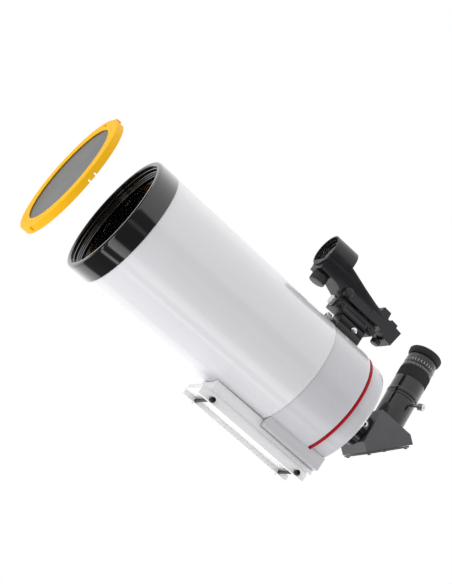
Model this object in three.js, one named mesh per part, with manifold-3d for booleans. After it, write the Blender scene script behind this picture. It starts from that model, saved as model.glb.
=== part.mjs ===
// A Maksutov-type Cassegrain telescope tube with its dovetail rail, red-dot finder,
// star diagonal, eyepiece and slide-on solar filter. Millimetres, +Z up.
//
// The optical axis runs along X, with the front of the tube at -X. The origin is the middle of
// the face under the dovetail rail's web. Everything on the tube is drawn in the tube's own frame, in
// which x is the distance behind the front rim and the optical axis is y = z = 0.

import * as THREE from 'three';
import { mergeVertices } from 'three/addons/utils/BufferGeometryUtils.js';
import Module from 'manifold-3d';

const wasm = await Module();
wasm.setup();

// ---- Driving dimensions ---------------------------------------------------------------------

const AXIS_HEIGHT = 89; // optical axis above the face under the rail's web
const FRONT_RIM_X = -265; // front rim, measured from the middle of the rail
const GAP = 0.3; // between pieces that touch

const RING = { radius: 73.3, length: 26, bore: 66.4, shoulder: 63.9, seat: 68.4 };
const TUBE = { end: 267, frontRadius: 72.6, rearRadius: 69.8, wall: 1.6 };
const CELL = { end: 324.2, radius: 69.4, wall: 5 };
const BAND = { start: 324.5, end: 327.5, radius: 68 };
const CAP = { start: 327.8, end: 350, radius: 65.6, wall: 4, port: 24.4 };
const FOOT = { halfWidth: 27.4, bottom: -76.5, end: 348.5 };
const RISER = { halfWidth: 17.5, start: 197, end: 349, bottom: -82.5 };
const RAIL = { start: 186.5, end: 343.5, halfWidth: 21, top: -82.8, roof: -AXIS_HEIGHT, bottom: -95 };
const LENS = { radius: 68, front: 14.4, thickness: 12, frontCurve: 190, rearCurve: 196 };
const MIRROR = { x: 286, radius: 64, hole: 22.5, thickness: 16, curve: 900 };
const FOCUS_Y = 40; // focus knob, off the axis on the tube's right-hand side

const FILTER = { front: -64, radius: 75.3, window: 61, flange: 3.4, skirtEnd: -55, skirtBore: 73.8 };

const DIAGONAL_TURN = THREE.MathUtils.degToRad(-6); // turned in the visual back, top to the right
const EYE_X = 401.5; // where the eyepiece axis crosses the optical axis
const DIAGONAL_HALF_WIDTH = 24;
const BARREL = 15.8; // the 1.25 inch barrel, a little under for its bore
const BARREL_BORE = 16.2;

const FINDER = { halfWidth: 13, ringX: 221, ringLength: 31, ringRadius: 20.3, ringZ: 136, window: 18.4 };
const SWIVEL_X = 304; // upright pin that the finder turns on
const PIVOT = { x: 286, z: 107 }; // cross pin that the finder tilts on
const FINDER_BASE = { start: 264, end: 322, bottom: 88.7, top: 98.2, halfWidth: 12 };

const ROUND = 40; // facets on the large round pieces
const MEDIUM = 28;
const SMALL = 16;
const TINY = 12;

// ---- Geometry helpers -----------------------------------------------------------------------

// Merges shared corners, drops collapsed triangles and turns the faces outward.
function closed(geometry) {
  geometry.deleteAttribute('normal');
  geometry.deleteAttribute('uv');
  const merged = mergeVertices(geometry, 1e-4);
  const corners = merged.index.array;
  const kept = [];
  for (let i = 0; i < corners.length; i += 3) {
    const [a, b, c] = corners.slice(i, i + 3);
    if (a !== b && b !== c && c !== a) kept.push(a, b, c);
  }
  merged.setIndex(volume(merged.attributes.position, kept) < 0 ? kept.reverse() : kept);
  return merged;
}

function volume(position, corners) {
  const [a, b, c] = [new THREE.Vector3(), new THREE.Vector3(), new THREE.Vector3()];
  let sum = 0;
  for (let i = 0; i < corners.length; i += 3) {
    a.fromBufferAttribute(position, corners[i]);
    b.fromBufferAttribute(position, corners[i + 1]);
    c.fromBufferAttribute(position, corners[i + 2]);
    sum += a.dot(b.cross(c));
  }
  return sum;
}

function toSolid(geometry) {
  const vertProperties = new Float32Array(geometry.attributes.position.array);
  const triVerts = new Uint32Array(geometry.index.array);
  return new wasm.Manifold(new wasm.Mesh({ numProp: 3, vertProperties, triVerts }));
}

function fromSolid(solid) {
  const { vertProperties, triVerts } = solid.getMesh();
  const geometry = new THREE.BufferGeometry();
  geometry.setAttribute('position', new THREE.BufferAttribute(vertProperties, 3));
  geometry.setIndex(new THREE.BufferAttribute(triVerts, 1));
  return geometry;
}

function join(first, ...others) {
  return fromSolid(others.reduce((whole, other) => whole.add(toSolid(other)), toSolid(first)));
}

function overlap(first, second) {
  return fromSolid(toSolid(first).intersect(toSolid(second)));
}

function cut(body, ...tools) {
  return fromSolid(tools.reduce((rest, tool) => rest.subtract(toSolid(tool)), toSolid(body)));
}

// Turns a shape drawn about Y (a lathe) or up Z (an extrusion) onto the named axis.
const LATHE_TURN = {
  x: new THREE.Matrix4().makeRotationZ(-Math.PI / 2),
  y: new THREE.Matrix4(),
  z: new THREE.Matrix4().makeRotationX(Math.PI / 2),
};
const X = new THREE.Vector3(1, 0, 0);
const Y = new THREE.Vector3(0, 1, 0);
const Z = new THREE.Vector3(0, 0, 1);
const PRISM_TURN = {
  x: new THREE.Matrix4().makeBasis(Y, Z, X),
  y: new THREE.Matrix4().makeBasis(X, Z, Y.clone().negate()),
  z: new THREE.Matrix4(),
};

// A turned piece. The profile lists [distance along the axis, radius] once round its outline.
function turned(profile, axis = 'x', facets = ROUND, centre = [0, 0, 0]) {
  const points = profile.map(([along, radius]) => new THREE.Vector2(radius, along));
  const onAxis = profile[0][1] === 0;
  if (!onAxis) points.push(points[0].clone());
  const geometry = new THREE.LatheGeometry(points, facets);
  geometry.applyMatrix4(LATHE_TURN[axis]).translate(...centre);
  return closed(geometry);
}

function rod(axis, centre, radius, from, to, facets = SMALL) {
  return turned([[from, 0], [from, radius], [to, radius], [to, 0]], axis, facets, centre);
}

// A flat outline pushed along an axis: (x, z) along y, (y, z) along x, or (x, y) along z.
function prism(outline, axis, from, to) {
  const shape = new THREE.Shape(outline.map(([u, v]) => new THREE.Vector2(u, v)));
  const geometry = new THREE.ExtrudeGeometry(shape, { depth: to - from, bevelEnabled: false });
  geometry.applyMatrix4(PRISM_TURN[axis]);
  const shift = { x: [from, 0, 0], y: [0, to, 0], z: [0, 0, from] }[axis];
  geometry.translate(...shift);
  return closed(geometry);
}

function block(x, y, z) {
  const outline = [[x[0], y[0]], [x[1], y[0]], [x[1], y[1]], [x[0], y[1]]];
  return prism(outline, 'z', ...z);
}

// A knob with straight flutes cut round its rim.
function fluted(axis, centre, radius, from, to, flutes = 18, depth = 0.7) {
  const outline = [];
  for (let i = 0; i < flutes * 2; i += 1) {
    const angle = (i * Math.PI) / flutes;
    const reach = i % 2 ? radius - depth : radius;
    outline.push([reach * Math.cos(angle), reach * Math.sin(angle)]);
  }
  return prism(outline, axis, from, to).translate(...centre);
}

// The depth of a spherical surface below its rim plane's centre, at a given radius.
const sag = (curve, radius) => curve - Math.sqrt(curve * curve - radius * radius);

function piece(name, geometry, colour, roughness, metalness = 0) {
  const material = new THREE.MeshStandardMaterial({ color: colour, roughness, metalness });
  const mesh = new THREE.Mesh(geometry, material);
  mesh.name = name;
  return mesh;
}

const GLOSS_BLACK = 0x16161a;
const MATTE_BLACK = 0x232327;
const CHARCOAL = 0x35353a;
const WHITE = 0xf0f0f2;
const SILVER_GREY = 0xc3c3c8;
const CRIMSON = 0xb00a23;
const YELLOW = 0xf7bf17;
const CHROME = 0xd8d8dc;
const GLASS = 0xaab4c8;

// ---- Optical tube ---------------------------------------------------------------------------

function frontRing() {
  const { radius, length, bore, shoulder, seat } = RING;
  const spigot = 70.4;
  return turned([
    [0, bore + 0.8], [0, 70.6], [0.9, 72.4], [3, radius], [length, radius], [length, spigot],
    [length + 10, spigot], [length + 10, seat], [14, seat], [14, shoulder], [9, shoulder],
    [9, bore], [1.2, bore],
  ]);
}

// A steeply curved meniscus: the front is hollow and the back bulges into the tube.
function corrector() {
  const { radius, front, thickness, frontCurve, rearCurve } = LENS;
  const faceEdge = 66;
  const steps = 4;
  const frontCentre = front + sag(frontCurve, faceEdge);
  const rearCentre = frontCentre + thickness;
  const profile = [];
  for (let i = 0; i <= steps; i += 1) {
    const r = (faceEdge * i) / steps;
    profile.push([frontCentre - sag(frontCurve, r), r]);
  }
  const rearEdge = rearCentre - sag(rearCurve, faceEdge);
  profile.push([front, radius], [rearEdge, radius]);
  for (let i = steps; i >= 0; i -= 1) {
    const r = (faceEdge * i) / steps;
    profile.push([rearCentre - sag(rearCurve, r), r]);
  }
  return turned(profile);
}

function correctorRetainer() {
  return turned([[27.1, 66.1], [27.1, 68.1], [33, 68.1], [33, 66.1]]);
}

function secondaryBaffle() {
  return turned([[37.9, 17], [37.9, 18.6], [60, 20.4], [60, 18.8]], 'x', MEDIUM);
}

function mainTube() {
  const { end, frontRadius, rearRadius, wall } = TUBE;
  const start = RING.length + GAP + 0.1;
  return turned([
    [start, frontRadius - wall], [start, frontRadius], [end - 1, rearRadius], [end, rearRadius - 0.6],
    [end, rearRadius - wall],
  ]);
}

// The rear casting: a drum that plugs into the tube, and the foot that carries the rail.
function rearCell() {
  const { end, radius, wall } = CELL;
  const start = TUBE.end + 0.4;
  const spigot = 67.8;
  const inner = radius - wall;
  const drum = turned([
    [start - 12.4, inner], [start - 12.4, spigot], [start, spigot], [start, radius],
    [end - 6.2, radius], [end - 1.8, radius - 0.7], [end, radius - 2.2], [end, 56],
    [end - 8, 56], [end - 8, inner],
  ]);
  const { halfWidth, bottom, end: footEnd } = FOOT;
  const foot = cut(
    block([start, footEnd], [-halfWidth, halfWidth], [bottom, -50]),
    rod('x', [0, 0, 0], radius - 3.2, start - 1, end + 0.1, ROUND),
    rod('x', [0, 0, 0], BAND.radius + 0.9, end, BAND.end + 0.4, ROUND),
    rod('x', [0, 0, 0], CAP.radius + 0.5, BAND.end, footEnd + 1, ROUND),
  );
  return join(drum, foot);
}

function trimBand() {
  const { start, end, radius } = BAND;
  return turned([[start, 57], [start, radius], [end, radius], [end, 57]]);
}

function backCap() {
  const { start, end, radius, wall, port } = CAP;
  const inside = radius - wall;
  const shell = turned([
    [start, inside], [start, radius], [end - 6, radius], [end - 1.8, radius - 1.7],
    [end, radius - 5.8], [end, port], [end - wall, port], [end - wall, inside],
  ]);
  return cut(shell, rod('x', [0, FOCUS_Y, 0], 7, end - 10, end + 2));
}

// The fixed tube that the mirror slides along. Its flange sits inside the cap, and its threaded
// end comes out of the cap's port.
function primaryBaffle() {
  const flangeFront = CAP.end - CAP.wall - 4.3;
  const flangeBack = CAP.end - CAP.wall - GAP;
  const thread = CAP.port - GAP;
  return turned([
    [185, 14.5], [185, 16], [282, 19], [flangeFront, 19], [flangeFront, 31], [flangeBack, 31],
    [flangeBack, thread], [CAP.end + 6, thread], [CAP.end + 6, 17.5], [282, 17.5],
  ], 'x', MEDIUM);
}

// A thick concave disc with a hole for the baffle tube.
function primaryMirror() {
  const { x, radius, hole, thickness, curve } = MIRROR;
  const face = [hole, (hole + radius) / 2, radius].map((r) => [x + sag(curve, radius) - sag(curve, r), r]);
  return turned([...face, [x + thickness, radius], [x + thickness, hole]]);
}

// Slides on the baffle tube and carries the mirror. A boss on its back takes the focus screw.
function mirrorCarriage() {
  const back = MIRROR.x + MIRROR.thickness + GAP;
  const sleeve = turned([
    [MIRROR.x + 5, 19.5], [MIRROR.x + 5, 22], [back, 22], [back, 50], [back + 4, 50],
    [back + 4, 24], [back + 14, 24], [back + 14, 19.5],
  ], 'x', MEDIUM);
  const boss = rod('x', [0, FOCUS_Y, 0], 7, back + 2, back + 20);
  return cut(join(sleeve, boss), rod('x', [0, FOCUS_Y, 0], 3.6, back - 2, back + 22, TINY));
}

// Threaded rod, turned by the knob. Its thread runs in the carriage's boss and its collar bears
// on the bush.
function focusScrew() {
  const tip = MIRROR.x + MIRROR.thickness + 9;
  const collar = CAP.end - CAP.wall - 3.2;
  return turned([
    [tip, 0], [tip, 3], [collar, 3], [collar, 4.6], [collar + 2.6, 4.6], [collar + 2.6, 3],
    [CAP.end + 11, 3], [CAP.end + 11, 0],
  ], 'x', TINY, [0, FOCUS_Y, 0]);
}

function focusBush() {
  const end = CAP.end;
  return turned([
    [end - 3.6, 3.5], [end - 3.6, 6.6], [end + GAP, 6.6], [end + GAP, 9], [end + 2, 9], [end + 2, 3.5],
  ], 'x', SMALL, [0, FOCUS_Y, 0]);
}

function focusKnob() {
  const start = CAP.end + 2.6;
  const knob = fluted('x', [0, FOCUS_Y, 0], 11, start, start + 20, 24, 0.6);
  return cut(knob, rod('x', [0, FOCUS_Y, 0], 3.4, start - 1, start + 9, TINY));
}

function visualBack() {
  const start = CAP.end + 0.4;
  const body = turned([
    [start, 24.6], [start, 28], [358, 28], [360.5, 22.5], [368, 22.5], [368, BARREL_BORE],
    [356.4, BARREL_BORE], [356.4, 24.6],
  ], 'x', MEDIUM);
  return cut(body, rod('y', [364, 0, 0], 2.2, -30, -10, TINY));
}

// A thumbscrew: a fluted head on a plain shank, along the named axis.
function thumbScrew(axis, centre, headRadius, head, shankRadius, shankEnd) {
  const from = Math.min(head[1] - 1, shankEnd);
  const to = Math.max(head[0] + 1, shankEnd);
  const shank = rod(axis, centre, shankRadius, from, to, TINY);
  return join(fluted(axis, centre, headRadius, head[0], head[1], 14, 0.5), shank);
}

// ---- Dovetail rail --------------------------------------------------------------------------

// The block between the rail and the tube, hollowed to fit under the tube and the foot.
function railRiser() {
  const { halfWidth, start, end, bottom } = RISER;
  const tall = block([start, end], [-halfWidth, halfWidth], [bottom, -62]);
  return cut(
    tall,
    turned([[0, 0], [0, TUBE.frontRadius + 0.8], [TUBE.end + 1, TUBE.rearRadius + 0.4], [TUBE.end + 1, 0]]),
    block([TUBE.end, end + 1], [-40, 40], [FOOT.bottom - GAP, -50]),
  );
}

const RAIL_BOLT_Z = -91.6;
const RAIL_BOLTS = { rail_bolt_front: RAIL.start + 17, rail_bolt_rear: RAIL.end - 12 };

// An extruded dovetail, open underneath: two side walls and a web, undercut for the clamp.
function dovetailRail() {
  const { start, end, halfWidth, top, roof, bottom } = RAIL;
  const lip = bottom + 7;
  const waist = halfWidth - 3.2;
  const inner = halfWidth - 2.8;
  const section = [
    [-halfWidth, bottom], [-inner, bottom], [-inner + 0.4, roof], [inner - 0.4, roof],
    [inner, bottom], [halfWidth, bottom], [halfWidth, lip], [waist, top], [-waist, top], [-halfWidth, lip],
  ];
  const bar = prism(section, 'x', start, end);
  const bolts = Object.values(RAIL_BOLTS);
  const boltHoles = bolts.map((x) => rod('y', [x, 0, RAIL_BOLT_Z], 2.3, -30, 30, TINY));
  // A shallow groove across the web clears each bolt.
  const grooves = bolts.map((x) => block([x - 4, x + 4], [-inner, inner], [roof - 0.1, roof + 0.8]));
  return cut(bar, ...boltHoles, ...grooves);
}

// A cross bolt through both walls, with a round head on the left and a nut on the right.
function railBolt(x) {
  const centre = [x, 0, RAIL_BOLT_Z];
  const outside = RAIL.halfWidth + GAP;
  const shank = rod('y', centre, 2, -outside - 1, outside + 1, TINY);
  const head = rod('y', centre, 3.3, -outside - 4, -outside);
  const nut = rod('y', centre, 3.3, outside, outside + 3, 6);
  return join(shank, head, nut);
}

// ---- Solar filter ---------------------------------------------------------------------------

// A moulded cap: a flat flange with a rebate for the film, a skirt, two lugs and two notches.
function filterCap() {
  const { front, radius, window, flange, skirtEnd, skirtBore } = FILTER;
  const rebate = 64.6;
  const shell = turned([
    [front, window + 0.6], [front, radius - 1.1], [front + 0.8, radius], [skirtEnd, radius],
    [skirtEnd, skirtBore], [front + flange, skirtBore], [front + flange, rebate],
    [front + 1.4, rebate], [front + 1.4, window], [front + 0.6, window],
  ], 'x', ROUND);
  const lugs = [108, -94].map((degrees) => {
    const lug = block([front + 0.8, front + 6], [radius - 1, radius + 1.6], [-5, 5]);
    return lug.rotateX(THREE.MathUtils.degToRad(degrees));
  });
  const notches = [-8, -17].map((z) => block([front + 6, skirtEnd + 1], [-80, -68], [z - 1.2, z + 1.2]));
  return cut(join(shell, ...lugs), ...notches);
}

function filterFilm() {
  const start = FILTER.front + 1.7;
  return turned([[start, 0], [start, 64.2], [start + 0.4, 64.2], [start + 0.4, 0]]);
}

function filterClamp() {
  const start = FILTER.front + 2.4;
  return turned([[start, 61], [start, 64.2], [start + 0.9, 64.2], [start + 0.9, 61]]);
}

// ---- Star diagonal and eyepiece -------------------------------------------------------------

// Places a piece drawn flat at the mirror: its face is z = 0 and +z points into the light path.
function onMirrorPlane(geometry) {
  return geometry.rotateY(-Math.PI / 4).translate(EYE_X, 0, 0);
}

function diagonalNose() {
  return turned([
    [340, 13.8], [340, BARREL], [368.4, BARREL], [368.4, 20.5], [376.4, 20.5], [376.4, 13.8],
  ], 'x', MEDIUM);
}

function diagonalBody() {
  const outline = [[376.8, 28], [422.5, 28], [431.5, 20.5], [386.5, -24.5], [376.8, -17]];
  const shell = prism(outline, 'y', -DIAGONAL_HALF_WIDTH, DIAGONAL_HALF_WIDTH);
  const lightIn = rod('x', [0, 0, 0], 13.8, 370, EYE_X + 6, MEDIUM);
  const lightOut = rod('z', [EYE_X, 0, 0], 13.8, -6, 40, MEDIUM);
  const counterbore = rod('z', [EYE_X, 0, 0], 17.8, 22.6, 40, MEDIUM);
  const mirrorPocket = onMirrorPlane(block([-20.5, 20.5], [-16.5, 16.5], [-12, 0.1]));
  return cut(shell, lightIn, lightOut, counterbore, mirrorPocket);
}

function diagonalMirror() {
  return onMirrorPlane(block([-20, 20], [-16, 16], [-3.2, -0.2]));
}

// The plate that closes the slanted back, with a pad that holds the mirror from behind.
function diagonalCover() {
  const plate = block([-26.5, 30.2], [-DIAGONAL_HALF_WIDTH, DIAGONAL_HALF_WIDTH], [-9.2, -7]);
  const pad = block([-18, 18], [-14, 14], [-7.5, -3.6]);
  return onMirrorPlane(join(plate, pad));
}

function coverScrew(along, across) {
  return onMirrorPlane(rod('z', [along, across, 0], 2.2, -10.6, -9.5, TINY));
}

const COVER_SCREWS = [[-23.4, -21], [-23.4, 21], [27, -21], [27, 21]];

const HOLDER_TOP = 66.8;
const HOLDER_SCREW = { z: 60, azimuth: THREE.MathUtils.degToRad(24) };

function eyepieceHolder() {
  const tube = turned([
    [23, BARREL_BORE], [23, 17.4], [28.4, 17.4], [28.4, 18.6], [HOLDER_TOP, 18.6],
    [HOLDER_TOP, BARREL_BORE],
  ], 'z', MEDIUM, [EYE_X, 0, 0]);
  return cut(tube, atHolderScrew(rod('y', [0, 0, 0], 2.2, -25, -10, TINY)));
}

function atHolderScrew(geometry) {
  return geometry.rotateZ(HOLDER_SCREW.azimuth).translate(EYE_X, 0, HOLDER_SCREW.z);
}

function holderScrew() {
  return atHolderScrew(thumbScrew('y', [0, 0, 0], 4, [-35.5, -28], 1.8, -16.9));
}

function eyepiecePiece(profile) {
  return turned(profile, 'z', MEDIUM, [EYE_X, 0, 0]);
}

const eyepieceBarrel = () => eyepiecePiece([[38, 14.2], [38, BARREL], [66.9, BARREL], [66.9, 14.2]]);

const eyepieceBody = () => eyepiecePiece([
  [67.2, 12.6], [67.2, 19.2], [70.8, 19.2], [71.4, 18.7], [88.4, 18.7], [88.4, 17.6],
  [102.9, 17.6], [102.9, 18.4], [119.5, 18], [121.2, 17.4], [121.2, 15.5], [125.5, 15.5],
  [125.5, 12.6],
]);

const gripBand = () => eyepiecePiece([[88.8, 18], [88.8, 18.9], [102.5, 18.7], [102.5, 18]]);

const eyecup = () => eyepiecePiece([
  [121.6, 15.9], [121.6, 18.4], [124.5, 19.7], [129, 20.2], [130.3, 19.4], [129.8, 17.6],
  [127.4, 12.6], [125.9, 12.6], [125.9, 15.9],
]);

// A lens with two bulging faces, standing on the eyepiece's axis.
function eyepieceLens(centreZ, edge, bulge) {
  const radius = 12.3;
  return turned([
    [centreZ - edge - bulge, 0], [centreZ - edge, radius], [centreZ + edge, radius],
    [centreZ + edge + bulge, 0],
  ], 'z', SMALL, [EYE_X, 0, 0]);
}

const fieldStop = () => eyepiecePiece([[76, 9.5], [76, 12.2], [78, 12.2], [78, 9.5]]);

// ---- Red-dot finder -------------------------------------------------------------------------

// The dark bar let into the rear cell's crown, with undercut sides for the finder's foot.
function finderShoe() {
  const [low, high] = [65.5, 77];
  const section = [
    [-15, low], [15, low], [15, high], [9.5, high], [12, 72.6], [-12, 72.6], [-9.5, high], [-15, high],
  ];
  const bar = prism(section, 'x', 276, 311);
  return cut(bar, rod('x', [0, 0, 0], CELL.radius + GAP, 270, 315, ROUND));
}

// The foot slides into the shoe and rises to the pivot under the base bar.
function finderFoot() {
  const section = [
    [-11.2, 73], [11.2, 73], [9, 77.2], [10, 79], [10, 88.3], [-10, 88.3], [-10, 79], [-9, 77.2],
  ];
  return prism(section, 'x', 277, 313);
}

const shoeScrew = () => thumbScrew('x', [0, 0, 77.4], 4.6, [264.5, 271], 2.4, 276.6);

const footScrew = () => rod('y', [299, 0, 81.7], 4.2, -13.4, -10.3);

function finderBase() {
  const { start, end, bottom, top, halfWidth } = FINDER_BASE;
  const bar = block([start, end], [-halfWidth, halfWidth], [bottom, top]);
  const rearNotch = block([end - 3, end + 1], [-halfWidth - 1, halfWidth + 1], [bottom - 1, bottom + 3]);
  return join(cut(bar, rearNotch), rod('z', [SWIVEL_X, 0, 0], 3, top - 1, top + 4.6));
}

const baseScrew = () => fluted('x', [0, 0, 96.6], 6.4, 258.6, 263.6, 20, 0.5);

const baseHexScrew = (x) => {
  const head = rod('y', [x, 0, 94.6], 3, -FINDER_BASE.halfWidth - 1.6, -FINDER_BASE.halfWidth - GAP);
  const socket = rod('y', [x, 0, 94.6], 1.5, -20, -FINDER_BASE.halfWidth - 0.9, 6);
  return cut(head, socket);
};

// Turns on the base's upright pin and carries the body on an ear that stands in its floor.
function finderCradle() {
  const plate = block([267, 321], [-8, 8], [FINDER_BASE.top + 0.4, 103.1]);
  const ear = block([PIVOT.x - 4, PIVOT.x + 4], [-5, 5], [103, 109.5]);
  return cut(
    join(plate, ear),
    rod('z', [SWIVEL_X, 0, 0], 3.4, 95, 110),
    rod('y', [PIVOT.x, 0, PIVOT.z], 1.9, -10, 10, TINY),
  );
}

const finderPivot = () => rod('y', [PIVOT.x, 0, PIVOT.z], 1.6, -10.7, 10.7, TINY);

const ALTITUDE_X = 233;
const AZIMUTH_X = 333;
const LAMP_Z = 124.6;
const BATTERY = { centre: [306, 0, 112.8], radius: 6.2 };

// The wedge body and the ring that frames the window, moulded as one. A trough for the line of
// sight runs back from the ring, between walls that fall away to the lamp housing.
function finderBody() {
  const { halfWidth, ringX, ringLength, ringRadius, ringZ, window } = FINDER;
  const ringEnd = ringX + ringLength;
  const side = [
    [223, 110.6], [248, 109.4], [261.5, 104.7], [326.8, 104.3], [333.6, 98.4], [345.4, 97.6],
    [348.6, 117.4], [340, 118.2], [339.6, 121.6], [330.4, 122.2], [329.4, 119.3], [325.4, 119.8],
    [324.6, 127.4], [314, 127.8], [312.4, 121.2], [281, 127], [ringEnd - 1, 133.5], [223, 133.5],
  ];
  const flare = ringRadius - 1;
  const plan = [
    [223, -flare], [ringEnd, -flare], [302, -halfWidth], [349, -halfWidth + 1],
    [349, halfWidth - 1], [302, halfWidth], [ringEnd, flare], [223, flare],
  ];
  const section = [
    [-12.5, 90], [12.5, 90], [12.5, 116], [flare, 130], [flare, 150], [-flare, 150], [-flare, 130],
    [-12.5, 116],
  ];
  const straight = overlap(prism(side, 'y', -25, 25), prism(plan, 'z', 90, 150));
  const wedge = overlap(straight, prism(section, 'x', 210, 360));
  const centre = [0, 0, ringZ];
  const housing = rod('x', centre, ringRadius, ringX, ringEnd, MEDIUM);
  const sight = turned(
    [[ringX - 1, 0], [ringX - 1, window], [ringEnd, window], [313, 9.6], [313, 0]], 'x', MEDIUM, centre,
  );
  const trough = cut(sight, block([ringX - 2, ringX + 2], [-25, 25], [100, 122.4]));
  return cut(
    join(wedge, housing),
    trough,
    rod('z', [ALTITUDE_X, 0, 0], 3.4, 100, 117, TINY),
    rod('z', [AZIMUTH_X, 0, 0], 3, 90, 103, TINY),
    block([PIVOT.x - 5, PIVOT.x + 5], [-6, 6], [100, 110.5]),
    rod('y', [PIVOT.x, 0, PIVOT.z], 1.9, -11, 11, TINY),
    rod('x', [0, 0, LAMP_Z], 2, 310, 318.4, TINY),
    rod('y', BATTERY.centre, BATTERY.radius + 0.6, 9, 20),
  );
}

const finderLamp = () => rod('x', [0, 0, LAMP_Z], 1.6, 313, 318, TINY);
const battery = () => rod('y', BATTERY.centre, BATTERY.radius, 9.4, 11.2);
const batteryDoor = () => rod('y', BATTERY.centre, BATTERY.radius + 0.2, 11.6, 13.4);

const finderWindow = () => turned(
  [[226, 0], [226, 18], [228.4, 18], [229.6, 0]], 'x', MEDIUM, [0, 0, FINDER.ringZ],
);

const windowRing = () => turned(
  [[223.6, 16.8], [223.6, 18], [225.4, 18], [225.4, 16.8]], 'x', MEDIUM, [0, 0, FINDER.ringZ],
);

const altitudeKnob = () => join(
  fluted('z', [ALTITUDE_X, 0, 0], 9.6, 98.8, 109, 20, 0.8),
  rod('z', [ALTITUDE_X, 0, 0], 3, 108, 113, TINY),
);

const azimuthKnob = () => join(
  fluted('z', [AZIMUTH_X, 0, 0], 5.8, 90.6, 96.4, 14, 0.5),
  rod('z', [AZIMUTH_X, 0, 0], 2.6, 96, 101.5, TINY),
);

const brightnessKnob = () => turned([
  [-18.2, 0], [-18.2, 4.6], [-17.4, 5.8], [-12.9, 6.5], [-12.9, 0],
], 'y', SMALL, [266.3, 0, 109.4]);

// ---- Assembly -------------------------------------------------------------------------------

const telescope = new THREE.Group();
const tubeFrame = new THREE.Group();
tubeFrame.position.set(FRONT_RIM_X, 0, AXIS_HEIGHT);
const diagonalFrame = new THREE.Group();
diagonalFrame.rotation.x = DIAGONAL_TURN;
tubeFrame.add(diagonalFrame);
telescope.add(tubeFrame);

tubeFrame.add(
  piece('front_ring', frontRing(), GLOSS_BLACK, 0.2),
  piece('corrector_lens', corrector(), GLASS, 0.05),
  piece('corrector_retainer', correctorRetainer(), MATTE_BLACK, 0.6),
  piece('secondary_baffle', secondaryBaffle(), MATTE_BLACK, 0.8),
  piece('main_tube', mainTube(), WHITE, 0.3),
  piece('rear_cell', rearCell(), SILVER_GREY, 0.35),
  piece('trim_band', trimBand(), CRIMSON, 0.35),
  piece('back_cap', backCap(), SILVER_GREY, 0.35),
  piece('primary_baffle', primaryBaffle(), MATTE_BLACK, 0.7),
  piece('primary_mirror', primaryMirror(), CHROME, 0.05, 1),
  piece('mirror_carriage', mirrorCarriage(), CHARCOAL, 0.5),
  piece('focus_screw', focusScrew(), CHROME, 0.3, 1),
  piece('focus_bush', focusBush(), CHROME, 0.4, 1),
  piece('focus_knob', focusKnob(), MATTE_BLACK, 0.8),
  piece('visual_back', visualBack(), GLOSS_BLACK, 0.35),
  piece('visual_back_screw', thumbScrew('y', [364, 0, 0], 3.6, [-31, -25], 1.8, -16.6), CHROME, 0.2, 1),
  piece('rail_riser', railRiser(), WHITE, 0.35),
  piece('dovetail_rail', dovetailRail(), WHITE, 0.35),
);
Object.entries(RAIL_BOLTS).forEach(([name, x]) => {
  tubeFrame.add(piece(name, railBolt(x), MATTE_BLACK, 0.4, 0.8));
});

tubeFrame.add(
  piece('filter_cap', filterCap(), YELLOW, 0.4),
  piece('filter_film', filterFilm(), 0x5c5c60, 0.3, 0.6),
  piece('filter_clamp', filterClamp(), YELLOW, 0.45),
);

diagonalFrame.add(
  piece('diagonal_nose', diagonalNose(), CHROME, 0.2, 1),
  piece('diagonal_body', diagonalBody(), CHARCOAL, 0.6),
  piece('diagonal_mirror', diagonalMirror(), CHROME, 0.05, 1),
  piece('diagonal_cover', diagonalCover(), CHARCOAL, 0.6),
  piece('eyepiece_holder', eyepieceHolder(), GLOSS_BLACK, 0.3),
  piece('holder_screw', holderScrew(), CHROME, 0.2, 1),
  piece('eyepiece_barrel', eyepieceBarrel(), CHROME, 0.15, 1),
  piece('eyepiece_body', eyepieceBody(), GLOSS_BLACK, 0.3),
  piece('grip_band', gripBand(), MATTE_BLACK, 0.85),
  piece('eyecup', eyecup(), MATTE_BLACK, 0.9),
  piece('eye_lens', eyepieceLens(118, 2, 1.6), GLASS, 0.05),
  piece('field_lens', eyepieceLens(86, 2, 1.6), GLASS, 0.05),
  piece('field_stop', fieldStop(), MATTE_BLACK, 0.8),
);
COVER_SCREWS.forEach(([along, across], i) => {
  diagonalFrame.add(piece(`cover_screw_${i + 1}`, coverScrew(along, across), MATTE_BLACK, 0.4, 0.8));
});

tubeFrame.add(
  piece('finder_shoe', finderShoe(), CHARCOAL, 0.5),
  piece('shoe_screw', shoeScrew(), CHROME, 0.2, 1),
  piece('finder_foot', finderFoot(), MATTE_BLACK, 0.5),
  piece('foot_screw', footScrew(), CHROME, 0.15, 1),
  piece('finder_base', finderBase(), CHARCOAL, 0.55),
  piece('base_screw', baseScrew(), CHROME, 0.3, 1),
  piece('base_hex_front', baseHexScrew(270), CHARCOAL, 0.4, 0.8),
  piece('base_hex_rear', baseHexScrew(312.5), CHARCOAL, 0.4, 0.8),
  piece('finder_cradle', finderCradle(), MATTE_BLACK, 0.6),
  piece('finder_pivot', finderPivot(), CHROME, 0.3, 1),
  piece('finder_body', finderBody(), CHARCOAL, 0.6),
  piece('finder_lamp', finderLamp(), CRIMSON, 0.2),
  piece('finder_battery', battery(), CHROME, 0.3, 1),
  piece('finder_window', finderWindow(), GLASS, 0.05),
  piece('window_ring', windowRing(), MATTE_BLACK, 0.4),
  piece('altitude_knob', altitudeKnob(), MATTE_BLACK, 0.5),
  piece('azimuth_knob', azimuthKnob(), MATTE_BLACK, 0.5),
  piece('brightness_knob', brightnessKnob(), CHARCOAL, 0.45),
  piece('battery_door', batteryDoor(), CHARCOAL, 0.6),
);

export default telescope;
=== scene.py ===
import math

import bmesh
import bpy
from mathutils import Matrix, Vector


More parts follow.
